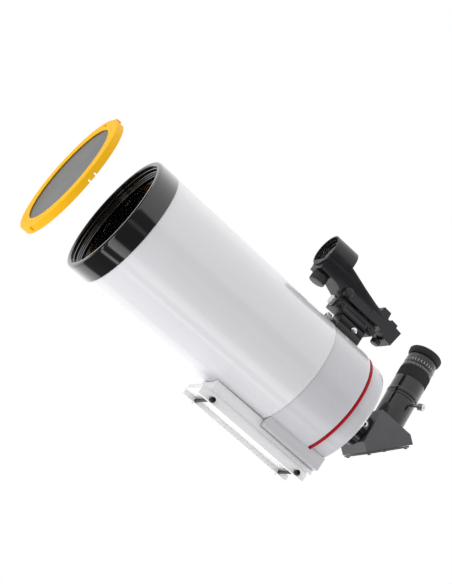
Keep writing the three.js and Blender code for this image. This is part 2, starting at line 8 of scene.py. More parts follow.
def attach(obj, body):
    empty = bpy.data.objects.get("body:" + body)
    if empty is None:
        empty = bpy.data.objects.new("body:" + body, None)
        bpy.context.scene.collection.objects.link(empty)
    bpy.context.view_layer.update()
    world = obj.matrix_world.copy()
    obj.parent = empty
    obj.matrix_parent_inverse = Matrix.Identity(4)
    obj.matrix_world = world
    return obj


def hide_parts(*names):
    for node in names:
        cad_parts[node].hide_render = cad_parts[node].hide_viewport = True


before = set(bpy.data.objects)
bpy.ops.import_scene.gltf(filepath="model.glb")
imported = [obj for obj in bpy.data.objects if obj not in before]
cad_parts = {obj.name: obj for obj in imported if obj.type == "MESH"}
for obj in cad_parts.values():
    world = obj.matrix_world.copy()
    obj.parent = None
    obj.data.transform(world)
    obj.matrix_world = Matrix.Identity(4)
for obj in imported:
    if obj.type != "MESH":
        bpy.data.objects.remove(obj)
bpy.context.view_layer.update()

# ---- Front ring -----------------------------------------------------------------------------
# A turned aluminium ring that holds the corrector, screwed into the tube and enamelled black.
# Its mouth is stepped and finely grooved to keep stray light off the glass.

# Tube coordinates are millimetres behind the front rim along X, with the optical axis at zero.
RIM_X = -0.265
OPTICAL_AXIS_Z = 0.089
TUBE = Matrix.Translation((RIM_X, 0, OPTICAL_AXIS_Z)) @ Matrix.Scale(0.001, 4)
TUBE_FACETS = 192

# A radius below ON_AXIS is a point on the axis. A rounding has CORNER_STEPS straight steps and takes
# up no more than the share SIDE_SHARE of a side.
ON_AXIS = 1e-6
CORNER_STEPS = 3
SIDE_SHARE = 0.45


def softened(outline, soft):
    """A closed outline with every corner off the axis rounded over about `soft`."""
    points = [Vector(p) for p in outline]
    smooth = []
    for before, corner, after in zip(points[-1:] + points[:-1], points, points[1:] + points[:1]):
        if abs(corner.y) < ON_AXIS or soft == 0:
            smooth.append(corner)
            continue
        to_before = before - corner
        to_after = after - corner
        start = corner + to_before.normalized() * min(soft, to_before.length * SIDE_SHARE)
        end = corner + to_after.normalized() * min(soft, to_after.length * SIDE_SHARE)
        for step in range(CORNER_STEPS + 1):
            t = step / CORNER_STEPS
            smooth.append(start.lerp(corner, t).lerp(corner.lerp(end, t), t))
    return smooth


def turned(outline, place, axis="x", soft=0.4, facets=96):
    """A lathe-turned solid from a closed outline of (distance along the axis, radius)."""
    solid = bmesh.new()
    rings = []
    for along, radius in softened(outline, soft):
        count = 1 if radius < ON_AXIS else facets
        ring = []
        for i in range(count):
            u = radius * math.cos(math.tau * i / facets)
            v = radius * math.sin(math.tau * i / facets)
            spot = {"x": (along, u, v), "y": (v, along, u), "z": (u, v, along)}[axis]
            ring.append(solid.verts.new(spot))
        rings.append(ring * (facets // count))
    for first, second in zip(rings, rings[1:] + rings[:1]):
        for i in range(facets):
            j = (i + 1) % facets
            corners = list(dict.fromkeys((first[i], first[j], second[j], second[i])))
            if len(corners) > 2:
                solid.faces.new(corners)
    bmesh.ops.recalc_face_normals(solid, faces=solid.faces)
    solid.transform(place)
    return solid


# Edges sharper than this stay crisp.
CREASE = math.radians(38)


def piece(name, solid, material, body, *nodes):
    """Turns a solid into a finished object that rides on a body and stands for CAD nodes."""
    mesh = bpy.data.meshes.new(name)
    solid.to_mesh(mesh)
    solid.free()
    mesh.materials.append(material)
    mesh.shade_smooth()
    mesh.set_sharp_from_angle(angle=CREASE)
    made = bpy.data.objects.new(name, mesh)
    bpy.context.collection.objects.link(made)
    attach(made, body)
    if nodes:
        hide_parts(*nodes)
    return made


# Noise keeps mostly between its two limits. The grain's depth is in metres.
NOISE_LOW = 0.3
NOISE_HIGH = 0.7
GRAIN_DEPTH = 0.0003
COAT_ROUGHNESS = 0.04


def finish(name, colour, roughness, metallic=0.0, coat=0.0, mottle=30.0, shift=0.05, spread=0.05,
           grain=900.0, relief=0.05):
    """A surface with uneven tone and gloss, and a fine grain. The scales are waves per metre."""
    material = bpy.data.materials.new(name)
    material.use_nodes = True
    nodes, links = material.node_tree.nodes, material.node_tree.links
    surface = nodes["Principled BSDF"]
    surface.inputs["Metallic"].default_value = metallic
    surface.inputs["Coat Weight"].default_value = coat
    surface.inputs["Coat Roughness"].default_value = COAT_ROUGHNESS
    place = nodes.new("ShaderNodeTexCoord")
    broad = nodes.new("ShaderNodeTexNoise")
    broad.inputs["Scale"].default_value = mottle
    broad.inputs["Detail"].default_value = 6
    fine = nodes.new("ShaderNodeTexNoise")
    fine.inputs["Scale"].default_value = grain
    fine.inputs["Detail"].default_value = 3
    for noise in (broad, fine):
        links.new(place.outputs["Object"], noise.inputs["Vector"])
    tone = nodes.new("ShaderNodeHueSaturation")
    tone.inputs["Color"].default_value = (*colour, 1)
    links.new(tone.outputs["Color"], surface.inputs["Base Color"])
    for socket, middle, reach in ((tone.inputs["Value"], 1, shift),
                                  (surface.inputs["Roughness"], roughness, spread)):
        span = nodes.new("ShaderNodeMapRange")
        span.inputs["From Min"].default_value = NOISE_LOW
        span.inputs["From Max"].default_value = NOISE_HIGH
        span.inputs["To Min"].default_value = middle - reach
        span.inputs["To Max"].default_value = middle + reach
        links.new(broad.outputs["Fac"], span.inputs["Value"])
        links.new(span.outputs["Result"], socket)
    bump = nodes.new("ShaderNodeBump")
    bump.inputs["Strength"].default_value = relief
    bump.inputs["Distance"].default_value = GRAIN_DEPTH
    links.new(fine.outputs["Fac"], bump.inputs["Height"])
    links.new(bump.outputs["Normal"], surface.inputs["Normal"])
    return material


black_enamel = finish("black_enamel", (0.007, 0.007, 0.008), 0.1, coat=1.0, spread=0.03, grain=500,
                      relief=0.015)
front_outline = [
    [0, 68.0], [0, 70.6], [0.9, 72.4], [3, 73.3], [26, 73.3], [26, 70.4], [36, 70.4], [36, 68.4],
    [14, 68.4], [14, 63.9], [12.6, 63.9], [12.2, 64.6], [10.8, 64.6], [10.4, 65.2], [9, 65.2], [8.6, 66.4],
    [5.2, 66.4], [4.8, 67.0], [1.2, 67.0],
]
front_ring = turned(front_outline, TUBE, facets=TUBE_FACETS, soft=0.25)
piece("ring_front", front_ring, black_enamel, "tube", "front_ring")

# ---- Corrector ------------------------------------------------------------------------------
# A thick meniscus of optical glass, hollow to the front, with a violet anti-reflection coating.
# The secondary is a bright spot coated on the middle of its back.

GLASS_INDEX = 1.5


def glass(name, tint, coating):
    """Coated glass with faint dust and cleaning marks that dull its gloss a little."""
    material = finish(name, tint, 0.02, spread=0.015, shift=0.01, grain=200, relief=0.004, mottle=60)
    surface = material.node_tree.nodes["Principled BSDF"]
    surface.inputs["Transmission Weight"].default_value = 1
    surface.inputs["IOR"].default_value = GLASS_INDEX
    surface.inputs["Specular Tint"].default_value = (*coating, 1)
    return material


def bowed(front_x, front_curve, back_x, back_curve, edge):
    """A lens outline: two spherical faces out to `edge`. A curve above 0 is hollow to the front."""
    bands = 16

    def face(x, curve):
        return [[x - (curve - math.copysign(math.sqrt(curve ** 2 - r ** 2), curve)), r]
                for r in (edge * i / bands for i in range(bands + 1))]
    return face(front_x, front_curve) + face(back_x, back_curve)[::-1]


corrector_glass = glass("corrector_glass", (0.93, 0.93, 1.0), (0.75, 0.6, 1.0))
meniscus = bowed(front_x=26.2, front_curve=190, back_x=38.2, back_curve=196, edge=67.6)
piece("corrector", turned(meniscus, TUBE, facets=TUBE_FACETS, soft=0), corrector_glass, "tube",
      "corrector_lens")
mirror_coat = finish("mirror_coat", (0.86, 0.87, 0.88), 0.03, metallic=1, spread=0.015, shift=0.02,
                     grain=150, relief=0.004)
spot_outline = [[38.4, 0], [38.3, 16.6], [38.7, 16.6], [38.8, 0]]
spot = piece("secondary_spot", turned(spot_outline, TUBE, soft=0), mirror_coat, "tube")

# The baffles and stops inside keep the shapes of their solids, in flat black.
flat_black = finish("flat_black", (0.011, 0.011, 0.012), 0.85, grain=1800, relief=0.35, shift=0.15)
for node in ("corrector_retainer", "secondary_baffle", "primary_baffle", "mirror_carriage", "field_stop"):
    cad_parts[node].data.materials[0] = flat_black
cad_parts["primary_mirror"].data.materials[0] = mirror_coat

# ---- Main tube ------------------------------------------------------------------------------
# A rolled aluminium tube, a little narrower at the back, in white lacquer with a faint orange
# peel. It is flat black inside.

white_lacquer = finish("white_lacquer", (0.745, 0.745, 0.775), 0.22, coat=0.5, mottle=9, shift=0.012,
                       spread=0.03, grain=260, relief=0.015)
tube_outline = [
    [26.4, 71.0], [26.4, 72.6], [263, 69.85], [264, 70.4], [266.4, 70.4], [267.2, 69.5], [267.2, 68.2],
]
tube_shell = piece("tube_shell", turned(tube_outline, TUBE, facets=TUBE_FACETS, soft=0.3), white_lacquer,
                   "tube", "main_tube")
tube_shell.data.materials.append(flat_black)
for face in tube_shell.data.polygons:
    outward = Vector((0, face.center.y, face.center.z - OPTICAL_AXIS_Z))
    if face.normal.dot(outward) < 0:
        face.material_index = 1

# ---- Rear cell ------------------------------------------------------------------------------
# A die-cast drum that plugs into the tube and carries the mirror. It is cast in one with the
# square foot that the rail is bolted to, and lacquered a shade greyer than the tube.


def extruded(outline, axis, start, end, place):
    """A straight solid: an outline of (x, z) along y, (y, z) along x, or (x, y) along z."""
    solid = bmesh.new()
    ends = []
    for along in (start, end):
        spots = {"x": [(along, u, v) for u, v in outline], "y": [(u, along, v) for u, v in outline],
                 "z": [(u, v, along) for u, v in outline]}[axis]
        ends.append([solid.verts.new(spot) for spot in spots])
        solid.faces.new(ends[-1])
    for i in range(len(outline)):
        j = (i + 1) % len(outline)
        solid.faces.new((ends[0][i], ends[0][j], ends[1][j], ends[1][i]))
    bmesh.ops.recalc_face_normals(solid, faces=solid.faces)
    solid.transform(place)
    return solid


def block(x, y, z, place):
    """A rectangular solid between three pairs of limits."""
    return extruded([(x[0], y[0]), (x[1], y[0]), (x[1], y[1]), (x[0], y[1])], "z", *z, place)


CENTRE = (0, 0, 0)


def rod(axis, centre, radius, start, end, place, facets=48, soft=0.0):
    """A plain round rod along an axis through `centre`."""
    outline = [[start, 0], [start, radius], [end, radius], [end, 0]]
    return turned(outline, place @ Matrix.Translation(centre), axis, soft, facets)


# A rounded edge has this many steps, and edges flatter than the limit are left alone.
BEVEL_STEPS = 3
BEVEL_LIMIT = math.radians(32)


def carved(solid, bevel=0.0, cutters=(), additions=()):
    """The solid with others added and cut away, and its edges rounded over `bevel` metres."""
    made = []
    for number, part in enumerate((solid, *additions, *cutters)):
        mesh = bpy.data.meshes.new(f"carving_{number}")
        part.to_mesh(mesh)
        part.free()
        made.append(bpy.data.objects.new(mesh.name, mesh))
        bpy.context.collection.objects.link(made[-1])
    for number, other in enumerate(made[1:]):
        step = made[0].modifiers.new(f"step_{number}", "BOOLEAN")
        step.operation = "UNION" if number < len(additions) else "DIFFERENCE"
        step.object = other
        step.solver = "EXACT"
    if bevel:
        rounding = made[0].modifiers.new("rounding", "BEVEL")
        rounding.width = bevel
        rounding.segments = BEVEL_STEPS
        rounding.limit_method = "ANGLE"
        rounding.angle_limit = BEVEL_LIMIT
    evaluated = made[0].evaluated_get(bpy.context.evaluated_depsgraph_get())
    result = bmesh.new()
    baked = bpy.data.meshes.new_from_object(evaluated)
    result.from_mesh(baked)
    for other in made:
        bpy.data.meshes.remove(other.data)
    bpy.data.meshes.remove(baked)
    return result


cell_lacquer = finish("cell_lacquer", (0.60, 0.60, 0.63), 0.28, coat=0.35, mottle=12, shift=0.02,
                      spread=0.04, grain=420, relief=0.03)
drum_outline = [
    [255, 64.4], [255, 67.8], [267.4, 67.8], [267.4, 69.4], [318, 69.4], [322.4, 68.7], [324.2, 67.2],
    [324.2, 56], [316.2, 56], [316.2, 64.4],
]
drum = turned(drum_outline, TUBE, facets=TUBE_FACETS, soft=0.5)

# The foot is hollowed to sit round the drum, clear of the trim band and against the cap. Each hollow
# is a radius and where it starts and ends.
FOOT_HOLLOWS = ((67.6, 260, 324.3), (68.9, 324.2, 327.9), (66.1, 327.5, 349.5))
foot = carved(block((267.4, 348.5), (-27.4, 27.4), (-76.5, -50), TUBE), bevel=0.0011, cutters=[
    rod("x", CENTRE, radius, start, end, TUBE, facets=TUBE_FACETS) for radius, start, end in FOOT_HOLLOWS])
for name, part in (("cell_drum", drum), ("cell_foot", foot)):
    piece(name, part, cell_lacquer, "tube", "rear_cell")

# ---- Trim band and rear cap -----------------------------------------------------------------
# A crimson anodised band is pinched between the drum and the turned aluminium cap that closes the
# back. The cap is lacquered like the cell, with a hole for the focus knob's stem.

crimson = finish("crimson", (0.42, 0.0, 0.01), 0.5, mottle=40, grain=700, relief=0.02)
crimson.node_tree.nodes["Principled BSDF"].inputs["Specular IOR Level"].default_value = 0.15
band_outline = [[324.5, 57], [324.5, 68], [327.5, 68], [327.5, 57]]
piece("trim", turned(band_outline, TUBE, facets=TUBE_FACETS, soft=0.25), crimson, "tube", "trim_band")
KNOB_CENTRE = (0, 40, 0)
cap_outline = [
    [327.8, 61.6], [327.8, 65.6], [344, 65.6], [346.6, 64.9], [348.2, 63.9], [350, 59.8], [350, 24.4],
    [346, 24.4], [346, 61.6],
]
rear_cap = carved(turned(cap_outline, TUBE, facets=128, soft=0.5),
                  cutters=[rod("x", KNOB_CENTRE, 6.9, 340, 352, TUBE)])
piece("rear_cap", rear_cap, cell_lacquer, "tube", "back_cap")

# ---- Focusing gear --------------------------------------------------------------------------
# A ribbed knob, covered in rubber, turns a steel screw in a brass bush. The screw draws the mirror
# along the tube.

RIB_FACETS = 10


def rib_tree():
    """A node tree for a ring of equal round ribs that stand along Z on a circle."""
    tree = bpy.data.node_groups.new("rib_ring", "GeometryNodeTree")
    for label, kind in (("Count", "Int"), ("Ring Radius", "Float"), ("Rib Radius", "Float"),
                        ("Length", "Float"), ("Material", "Material")):
        tree.interface.new_socket(label, in_out="INPUT", socket_type=f"NodeSocket{kind}")
    tree.interface.new_socket("Geometry", in_out="OUTPUT", socket_type="NodeSocketGeometry")
    given = tree.nodes.new("NodeGroupInput")
    circle = tree.nodes.new("GeometryNodeMeshCircle")
    rib = tree.nodes.new("GeometryNodeMeshCylinder")
    rib.inputs["Vertices"].default_value = RIB_FACETS
    spread = tree.nodes.new("GeometryNodeInstanceOnPoints")
    real = tree.nodes.new("GeometryNodeRealizeInstances")
    painted = tree.nodes.new("GeometryNodeSetMaterial")
    result = tree.nodes.new("NodeGroupOutput")
    for start, end in (
        (given.outputs["Count"], circle.inputs["Vertices"]),
        (given.outputs["Ring Radius"], circle.inputs["Radius"]),
        (given.outputs["Rib Radius"], rib.inputs["Radius"]),
        (given.outputs["Length"], rib.inputs["Depth"]),
        (circle.outputs["Mesh"], spread.inputs["Points"]),
        (rib.outputs["Mesh"], spread.inputs["Instance"]),
        (spread.outputs["Instances"], real.inputs["Geometry"]),
        (real.outputs["Geometry"], painted.inputs["Geometry"]),
        (given.outputs["Material"], painted.inputs["Material"]),
        (painted.outputs["Geometry"], result.inputs["Geometry"]),
    ):
        tree.links.new(start, end)
    return tree


RIBS = rib_tree()
AXES = {"x": Vector((1, 0, 0)), "y": Vector((0, 1, 0)), "z": Vector((0, 0, 1))}
TO_AXIS = {"x": Matrix.Rotation(math.pi / 2, 4, "Y"), "y": Matrix.Rotation(math.pi / 2, 4, "X"),
           "z": Matrix.Identity(4)}


def ribbed(solid, axis, centre, place, material, ring, rib, start, end, count):
    """Adds a ring of ribs to a solid, all round the given axis."""
    holder = bpy.data.objects.new("ribs", bpy.data.meshes.new("ribs"))
    bpy.context.collection.objects.link(holder)
    step = holder.modifiers.new("ribs", "NODES")
    step.node_group = RIBS
    values = {"Count": count, "Ring Radius": ring, "Rib Radius": rib, "Length": end - start,
              "Material": material}
    for socket in RIBS.interface.items_tree:
        if socket.in_out == "INPUT":
            step[socket.identifier] = values[socket.name]
    baked = bpy.data.meshes.new_from_object(holder.evaluated_get(bpy.context.evaluated_depsgraph_get()))
    middle = AXES[axis] * (start + end) / 2
    baked.transform(place @ Matrix.Translation(Vector(centre) + middle) @ TO_AXIS[axis])
    solid.from_mesh(baked)
    bpy.data.meshes.remove(baked)
    bpy.data.meshes.remove(holder.data)
    return solid


black_rubber = finish("black_rubber", (0.016, 0.016, 0.017), 0.72, mottle=80, shift=0.15, spread=0.08,
                      grain=1500, relief=0.25)
bright_steel = finish("bright_steel", (0.72, 0.72, 0.74), 0.16, metallic=1, mottle=90, shift=0.06,
                      spread=0.06, grain=700, relief=0.03)
brass = finish("brass", (0.60, 0.42, 0.16), 0.3, metallic=1, mottle=70, shift=0.08, grain=900, relief=0.05)
knob_outline = [
    [352.6, 0], [352.6, 9.6], [354, 10.5], [371, 10.5], [372.6, 9.4], [372.6, 7], [371.8, 6.4], [371.8, 0],
]
knob = turned(knob_outline, TUBE @ Matrix.Translation(KNOB_CENTRE), soft=0.5, facets=64)
ribbed(knob, "x", KNOB_CENTRE, TUBE, black_rubber, ring=10.4, rib=0.55, start=354.2, end=370.8, count=36)
piece("focus_grip", knob, black_rubber, "focuser", "focus_knob")
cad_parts["focus_screw"].data.materials[0] = bright_steel
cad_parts["focus_bush"].data.materials[0] = brass

# ---- Visual back ----------------------------------------------------------------------------
# A turned and black anodised collar is screwed onto the baffle's thread. A chrome thumbscrew in its
# side grips the diagonal's nose.


def thumbscrew(axis, centre, place, material, radius, head, shank, tip):
    """A screw with a finely ribbed round head. `head` and `tip` are distances along its axis."""
    near, far = head
    screw = rod(axis, centre, radius * 0.93, near, far, place, facets=40, soft=0.3)
    screw_shank = rod(axis, centre, shank, min(near, tip), max(far, tip), place, facets=24, soft=0.2)
    mesh = bpy.data.meshes.new("shank")
    screw_shank.to_mesh(mesh)
    screw_shank.free()
    screw.from_mesh(mesh)
    bpy.data.meshes.remove(mesh)
    return ribbed(screw, axis, centre, place, material, ring=radius * 0.92, rib=radius * 0.09,
                  start=near + 0.4, end=far - 0.4, count=28)


black_anodised = finish("black_anodised", (0.008, 0.008, 0.010), 0.18, coat=0.35, mottle=50, shift=0.1,
                        grain=1100, relief=0.04)
SCREW_SHANK = 1.8
SCREW_HOLE = 2.1
collar_outline = [
    [350.4, 24.6], [350.4, 28], [358, 28], [360.5, 22.5], [368, 22.5], [368, 16.2], [356.4, 16.2],
    [356.4, 24.6],
]
COLLAR_SCREW = (364, 0, 0)
collar = carved(turned(collar_outline, TUBE), cutters=[rod("y", COLLAR_SCREW, SCREW_HOLE, -30, -10, TUBE)])
piece("visual_collar", collar, black_anodised, "tube", "visual_back")
collar_screw = thumbscrew("y", COLLAR_SCREW, TUBE, bright_steel, radius=3.6, head=(-31, -25),
                          shank=SCREW_SHANK, tip=-16.6)
piece("collar_screw", collar_screw, bright_steel, "back_screw", "visual_back_screw")

# ---- Riser and dovetail rail ----------------------------------------------------------------
# An extruded aluminium dovetail, open below, on a block that fits it to the tube. Both are
# lacquered white. Two blackened bolts with socket heads cross it near its ends.

rail_paint = finish("rail_paint", (0.90, 0.90, 0.91), 0.3, coat=0.3, mottle=20, shift=0.02, spread=0.05,
                    grain=500, relief=0.03)
riser = carved(block((197, 349), (-17.5, 17.5), (-82.5, -62), TUBE), bevel=0.0006, cutters=(
    rod("x", CENTRE, 71.2, 190, 267.2, TUBE, facets=TUBE_FACETS),
    block((267, 352), (-40, 40), (-76.8, -50), TUBE),
))
piece("riser", riser, rail_paint, "tube", "rail_riser")
rail_section = [
    (-21, -95), (-18.2, -95), (-17.8, -89), (17.8, -89), (18.2, -95), (21, -95), (21, -88), (17.8, -82.8),
    (-17.8, -82.8), (-21, -88),
]
BOLTS = {"rail_bolt_front": 203.5, "rail_bolt_rear": 331.5}
BOLT_Z = -91.6
GROOVE_HALF = 4
rail_cuts = []
for x in BOLTS.values():
    rail_cuts.append(rod("y", (x, 0, BOLT_Z), 2.3, -30, 30, TUBE))
    rail_cuts.append(block((x - GROOVE_HALF, x + GROOVE_HALF), (-17.9, 17.9), (-89.1, -88.2), TUBE))
rail = carved(extruded(rail_section, "x", 186.5, 343.5, TUBE), bevel=0.0005, cutters=rail_cuts)
piece("rail", rail, rail_paint, "tube", "dovetail_rail")
black_steel = finish("black_steel", (0.05, 0.05, 0.055), 0.34, metallic=0.9, mottle=80, shift=0.2,
                     spread=0.08, grain=900, relief=0.08)
bolt_outline = [[-21.3, 0], [-21.3, 3.4], [-25.2, 3.2], [-25.2, 1.6], [-23.4, 1.6], [-23.4, 0]]
for name, x in BOLTS.items():
    head = turned(bolt_outline, TUBE @ Matrix.Translation((x, 0, BOLT_Z)), "y", soft=0.3, facets=48)
    shank = rod("y", (x, 0, BOLT_Z), 2, -22, 22, TUBE, facets=24)
    nut = rod("y", (x, 0, BOLT_Z), 3.3, 21.3, 24.3, TUBE, facets=6)
    piece(name, carved(head, additions=(shank, nut)), black_steel, "tube", name)

# ---- Solar filter ---------------------------------------------------------------------------
# A moulded yellow cap with a shallow skirt, two lugs and two notches. A grey metallised film
# lies in its rebate behind a glued ring, and an orange rivet marks its top.

yellow = finish("yellow_plastic", (0.93, 0.49, 0.001), 0.55, mottle=25, shift=0.02, spread=0.04,
                grain=700, relief=0.03)
yellow.node_tree.nodes["Principled BSDF"].inputs["Specular IOR Level"].default_value = 0.25
filter_outline = [
    [-64, 61.6], [-64, 64.8], [-63.5, 65.3], [-63.5, 67.4], [-64, 67.9], [-64, 74.2], [-63.2, 75.3],
    [-55, 75.3], [-55, 73.8], [-60.6, 73.8], [-60.6, 64.6], [-62.6, 64.6], [-62.6, 61], [-63.4, 61],
]
LUG_ANGLES = (108, -94)
lugs = []
for degrees in LUG_ANGLES:
    turn = Matrix.Rotation(math.radians(degrees), 4, "X")
    lugs.append(block((-63.2, -58), (74.4, 76.8), (-5, 5), TUBE @ turn))
NOTCHES_Z = (-8, -17)
NOTCH_HALF = 1.2
notches = [block((-58, -54), (-80, -68), (z - NOTCH_HALF, z + NOTCH_HALF), TUBE) for z in NOTCHES_Z]
FILTER_FACETS = 160
filter_cap = carved(turned(filter_outline, TUBE, facets=FILTER_FACETS, soft=0.25), bevel=0.0003,
                    cutters=notches, additions=lugs)
piece("filter_cell", filter_cap, yellow, "solar_filter", "filter_cap", "filter_clamp")
film_finish = finish("solar_film", (0.055, 0.057, 0.06), 0.3, metallic=0.3, mottle=14, shift=0.05,
                     spread=0.04, grain=28, relief=0.12)
film_outline = [[-62.3, 0], [-62.3, 64.2], [-61.9, 64.2], [-61.9, 0]]
piece("film", turned(film_outline, TUBE, facets=FILTER_FACETS, soft=0), film_finish, "solar_filter",
      "filter_film")
orange = finish("orange_rivet", (0.80, 0.16, 0.01), 0.35, mottle=300, shift=0.1, grain=2000, relief=0.1)
rivet_head = rod("x", (0, 0, 68.5), 1.5, -64.5, -63.4, TUBE, facets=24, soft=0.3)
rivet = piece("filter_rivet", rivet_head, orange, "solar_filter")

# ---- Diagonal -------------------------------------------------------------------------------
# A chrome nose, a charcoal cast body with its corners cut off, and a cover plate screwed on the
# slanted back behind the mirror. It is turned 6 degrees in the visual back.

DIAGONAL = TUBE @ Matrix.Rotation(math.radians(-6), 4, "X")
EYE_X = 401.5
BORE = 13.8
BORE_FACETS = 64
nose_outline = [[340, BORE], [340, 15.8], [368.4, 15.8], [368.4, 20.5], [376.4, 20.5], [376.4, BORE]]
nose_tube = piece("nose", turned(nose_outline, DIAGONAL), bright_steel, "diagonal_tube", "diagonal_nose")

# The nose's collar is black behind this place, in metres along the whole telescope.
COLLAR_START = 0.1035
nose_tube.data.materials.append(black_anodised)
for face in nose_tube.data.polygons:
    if face.center.x > COLLAR_START:
        face.material_index = 1
charcoal_enamel = finish("charcoal_enamel", (0.075, 0.076, 0.083), 0.36, mottle=45, shift=0.1,
                         spread=0.08, grain=1500, relief=0.22)
MIRROR_PLANE = DIAGONAL @ Matrix.Translation((EYE_X, 0, 0)) @ Matrix.Rotation(-math.pi / 4, 4, "Y")
side = [(376.8, 28), (422.5, 28), (431.5, 20.5), (386.5, -24.5), (376.8, -17)]
prism = carved(extruded(side, "y", -24, 24, DIAGONAL), bevel=0.0012, cutters=(
    rod("x", CENTRE, BORE, 370, EYE_X + 6, DIAGONAL, facets=BORE_FACETS),
    rod("z", (EYE_X, 0, 0), BORE, -6, 40, DIAGONAL, facets=BORE_FACETS),
    rod("z", (EYE_X, 0, 0), 17.8, 22.6, 40, DIAGONAL, facets=BORE_FACETS),
    block((-20.5, 20.5), (-16.5, 16.5), (-12, 0.1), MIRROR_PLANE),
))
piece("diagonal_housing", prism, charcoal_enamel, "diagonal", "diagonal_body")
plate = carved(block((-26.5, 30.2), (-24, 24), (-9.2, -7), MIRROR_PLANE), bevel=0.0005,
               additions=[block((-18, 18), (-14, 14), (-7.5, -3.6), MIRROR_PLANE)])
piece("diagonal_plate", plate, charcoal_enamel, "diagonal", "diagonal_cover")
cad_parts["diagonal_mirror"].data.materials[0] = mirror_coat
PLATE_SCREWS = ((-23.4, -21), (-23.4, 21), (27, -21), (27, 21))
plate_screw_outline = [[-9.3, 0], [-9.3, 2.2], [-10.4, 1.7], [-10.4, 0.8], [-9.8, 0.8], [-9.8, 0]]
for number, (along, across) in enumerate(PLATE_SCREWS, 1):
    corner = MIRROR_PLANE @ Matrix.Translation((along, across, 0))
    head = turned(plate_screw_outline, corner, "z", soft=0.15, facets=32)
    piece(f"plate_screw_{number}", head, black_steel, "diagonal", f"cover_screw_{number}")

# ---- Eyepiece holder ------------------------------------------------------------------------
# A black anodised tube stands on top of the diagonal and takes the eyepiece's barrel. A chrome
# thumbscrew in its side, 24 degrees round from the left, grips the barrel.

AT_EYE = DIAGONAL @ Matrix.Translation((EYE_X, 0, 0))
holder_outline = [
    [23, 16.2], [23, 17.4], [28.4, 17.4], [28.4, 18.6], [62.4, 18.6], [62.9, 18.1], [63.4, 18.6],
    [66.8, 18.6], [66.8, 16.2],
]
CLAMP = AT_EYE @ Matrix.Translation((0, 0, 60)) @ Matrix.Rotation(math.radians(24), 4, "Z")
holder = carved(turned(holder_outline, AT_EYE, "z", soft=0.3),
                cutters=[rod("y", CENTRE, SCREW_HOLE, -25, -10, CLAMP)])
piece("holder", holder, black_anodised, "diagonal", "eyepiece_holder")
holder_screw = thumbscrew("y", CENTRE, CLAMP, bright_steel, radius=4, head=(-35.5, -28), shank=SCREW_SHANK,
                          tip=-16.9)
piece("holder_thumbscrew", holder_screw, bright_steel, "eyepiece_clamp", "holder_screw")

# ---- Eyepiece -------------------------------------------------------------------------------
# A chrome barrel, a black anodised body, a ribbed rubber grip and a soft rubber eyecup. White
# tick marks ring the body above the grip.

barrel_outline = [[38, 14.2], [38, 15.8], [66.9, 15.8], [66.9, 14.2]]
piece("barrel", turned(barrel_outline, AT_EYE, "z", soft=0.25), bright_steel, "eyepiece", "eyepiece_barrel")
eyepiece_outline = [
    [67.2, 12.6], [67.2, 19.2], [70.8, 19.2], [71.4, 18.7], [88.4, 18.7], [88.4, 17.6], [102.9, 17.6],
    [102.9, 18.4], [108, 18.3], [108.4, 17.9], [108.8, 18.3], [119.5, 18], [121.2, 17.4], [121.2, 15.5],
    [125.5, 15.5], [125.5, 12.6],
]
piece("eyepiece_shell", turned(eyepiece_outline, AT_EYE, "z", soft=0.3), black_anodised, "eyepiece",
      "eyepiece_body")
grip = turned([[88.8, 18], [88.8, 18.6], [102.5, 18.5], [102.5, 18]], AT_EYE, "z", soft=0.2)
ribbed(grip, "z", CENTRE, AT_EYE, black_rubber, ring=18.5, rib=0.4, start=89.2, end=102.1, count=72)
piece("grip", grip, black_rubber, "eyepiece", "grip_band")
cup_outline = [
    [121.6, 15.9], [121.6, 18.4], [124.5, 19.7], [129, 20.2], [130.3, 19.4], [129.8, 17.6],
    [127.4, 12.6], [125.9, 12.6], [125.9, 15.9],
]
piece("cup", turned(cup_outline, AT_EYE, "z", soft=0.6), black_rubber, "eyepiece", "eyecup")
eye_glass = glass("eye_glass", (0.9, 0.95, 1.0), (0.6, 0.9, 0.7))
half_lens = [[3.6, 0], [3.1, 5], [2, 12.3]]
for name, node, height in (("lens_eye", "eye_lens", 118), ("lens_field", "field_lens", 86)):
    below = [[height - thick, radius] for thick, radius in half_lens]
    above = [[height + thick, radius] for thick, radius in half_lens]
    piece(name, turned(below + above[::-1], AT_EYE, "z", soft=0.5), eye_glass, "eyepiece", node)
white_ink = finish("white_ink", (0.75, 0.75, 0.76), 0.5, mottle=300, shift=0.1, grain=2500, relief=0.2)
marks = bmesh.new()
ribbed(marks, "z", CENTRE, AT_EYE, white_ink, ring=18.2, rib=0.3, start=110.4, end=113.4, count=30)
ribbed(marks, "z", CENTRE, AT_EYE, white_ink, ring=18.3, rib=0.2, start=105, end=106.4, count=60)
marks_piece = piece("tick_marks", marks, white_ink, "eyepiece")

# ---- Finder shoe and foot -------------------------------------------------------------------
# A dark moulded shoe is screwed to the cell's crown. The finder's foot slides into its undercut
# sides, and a chrome thumbscrew at the front and a chrome side screw hold it.

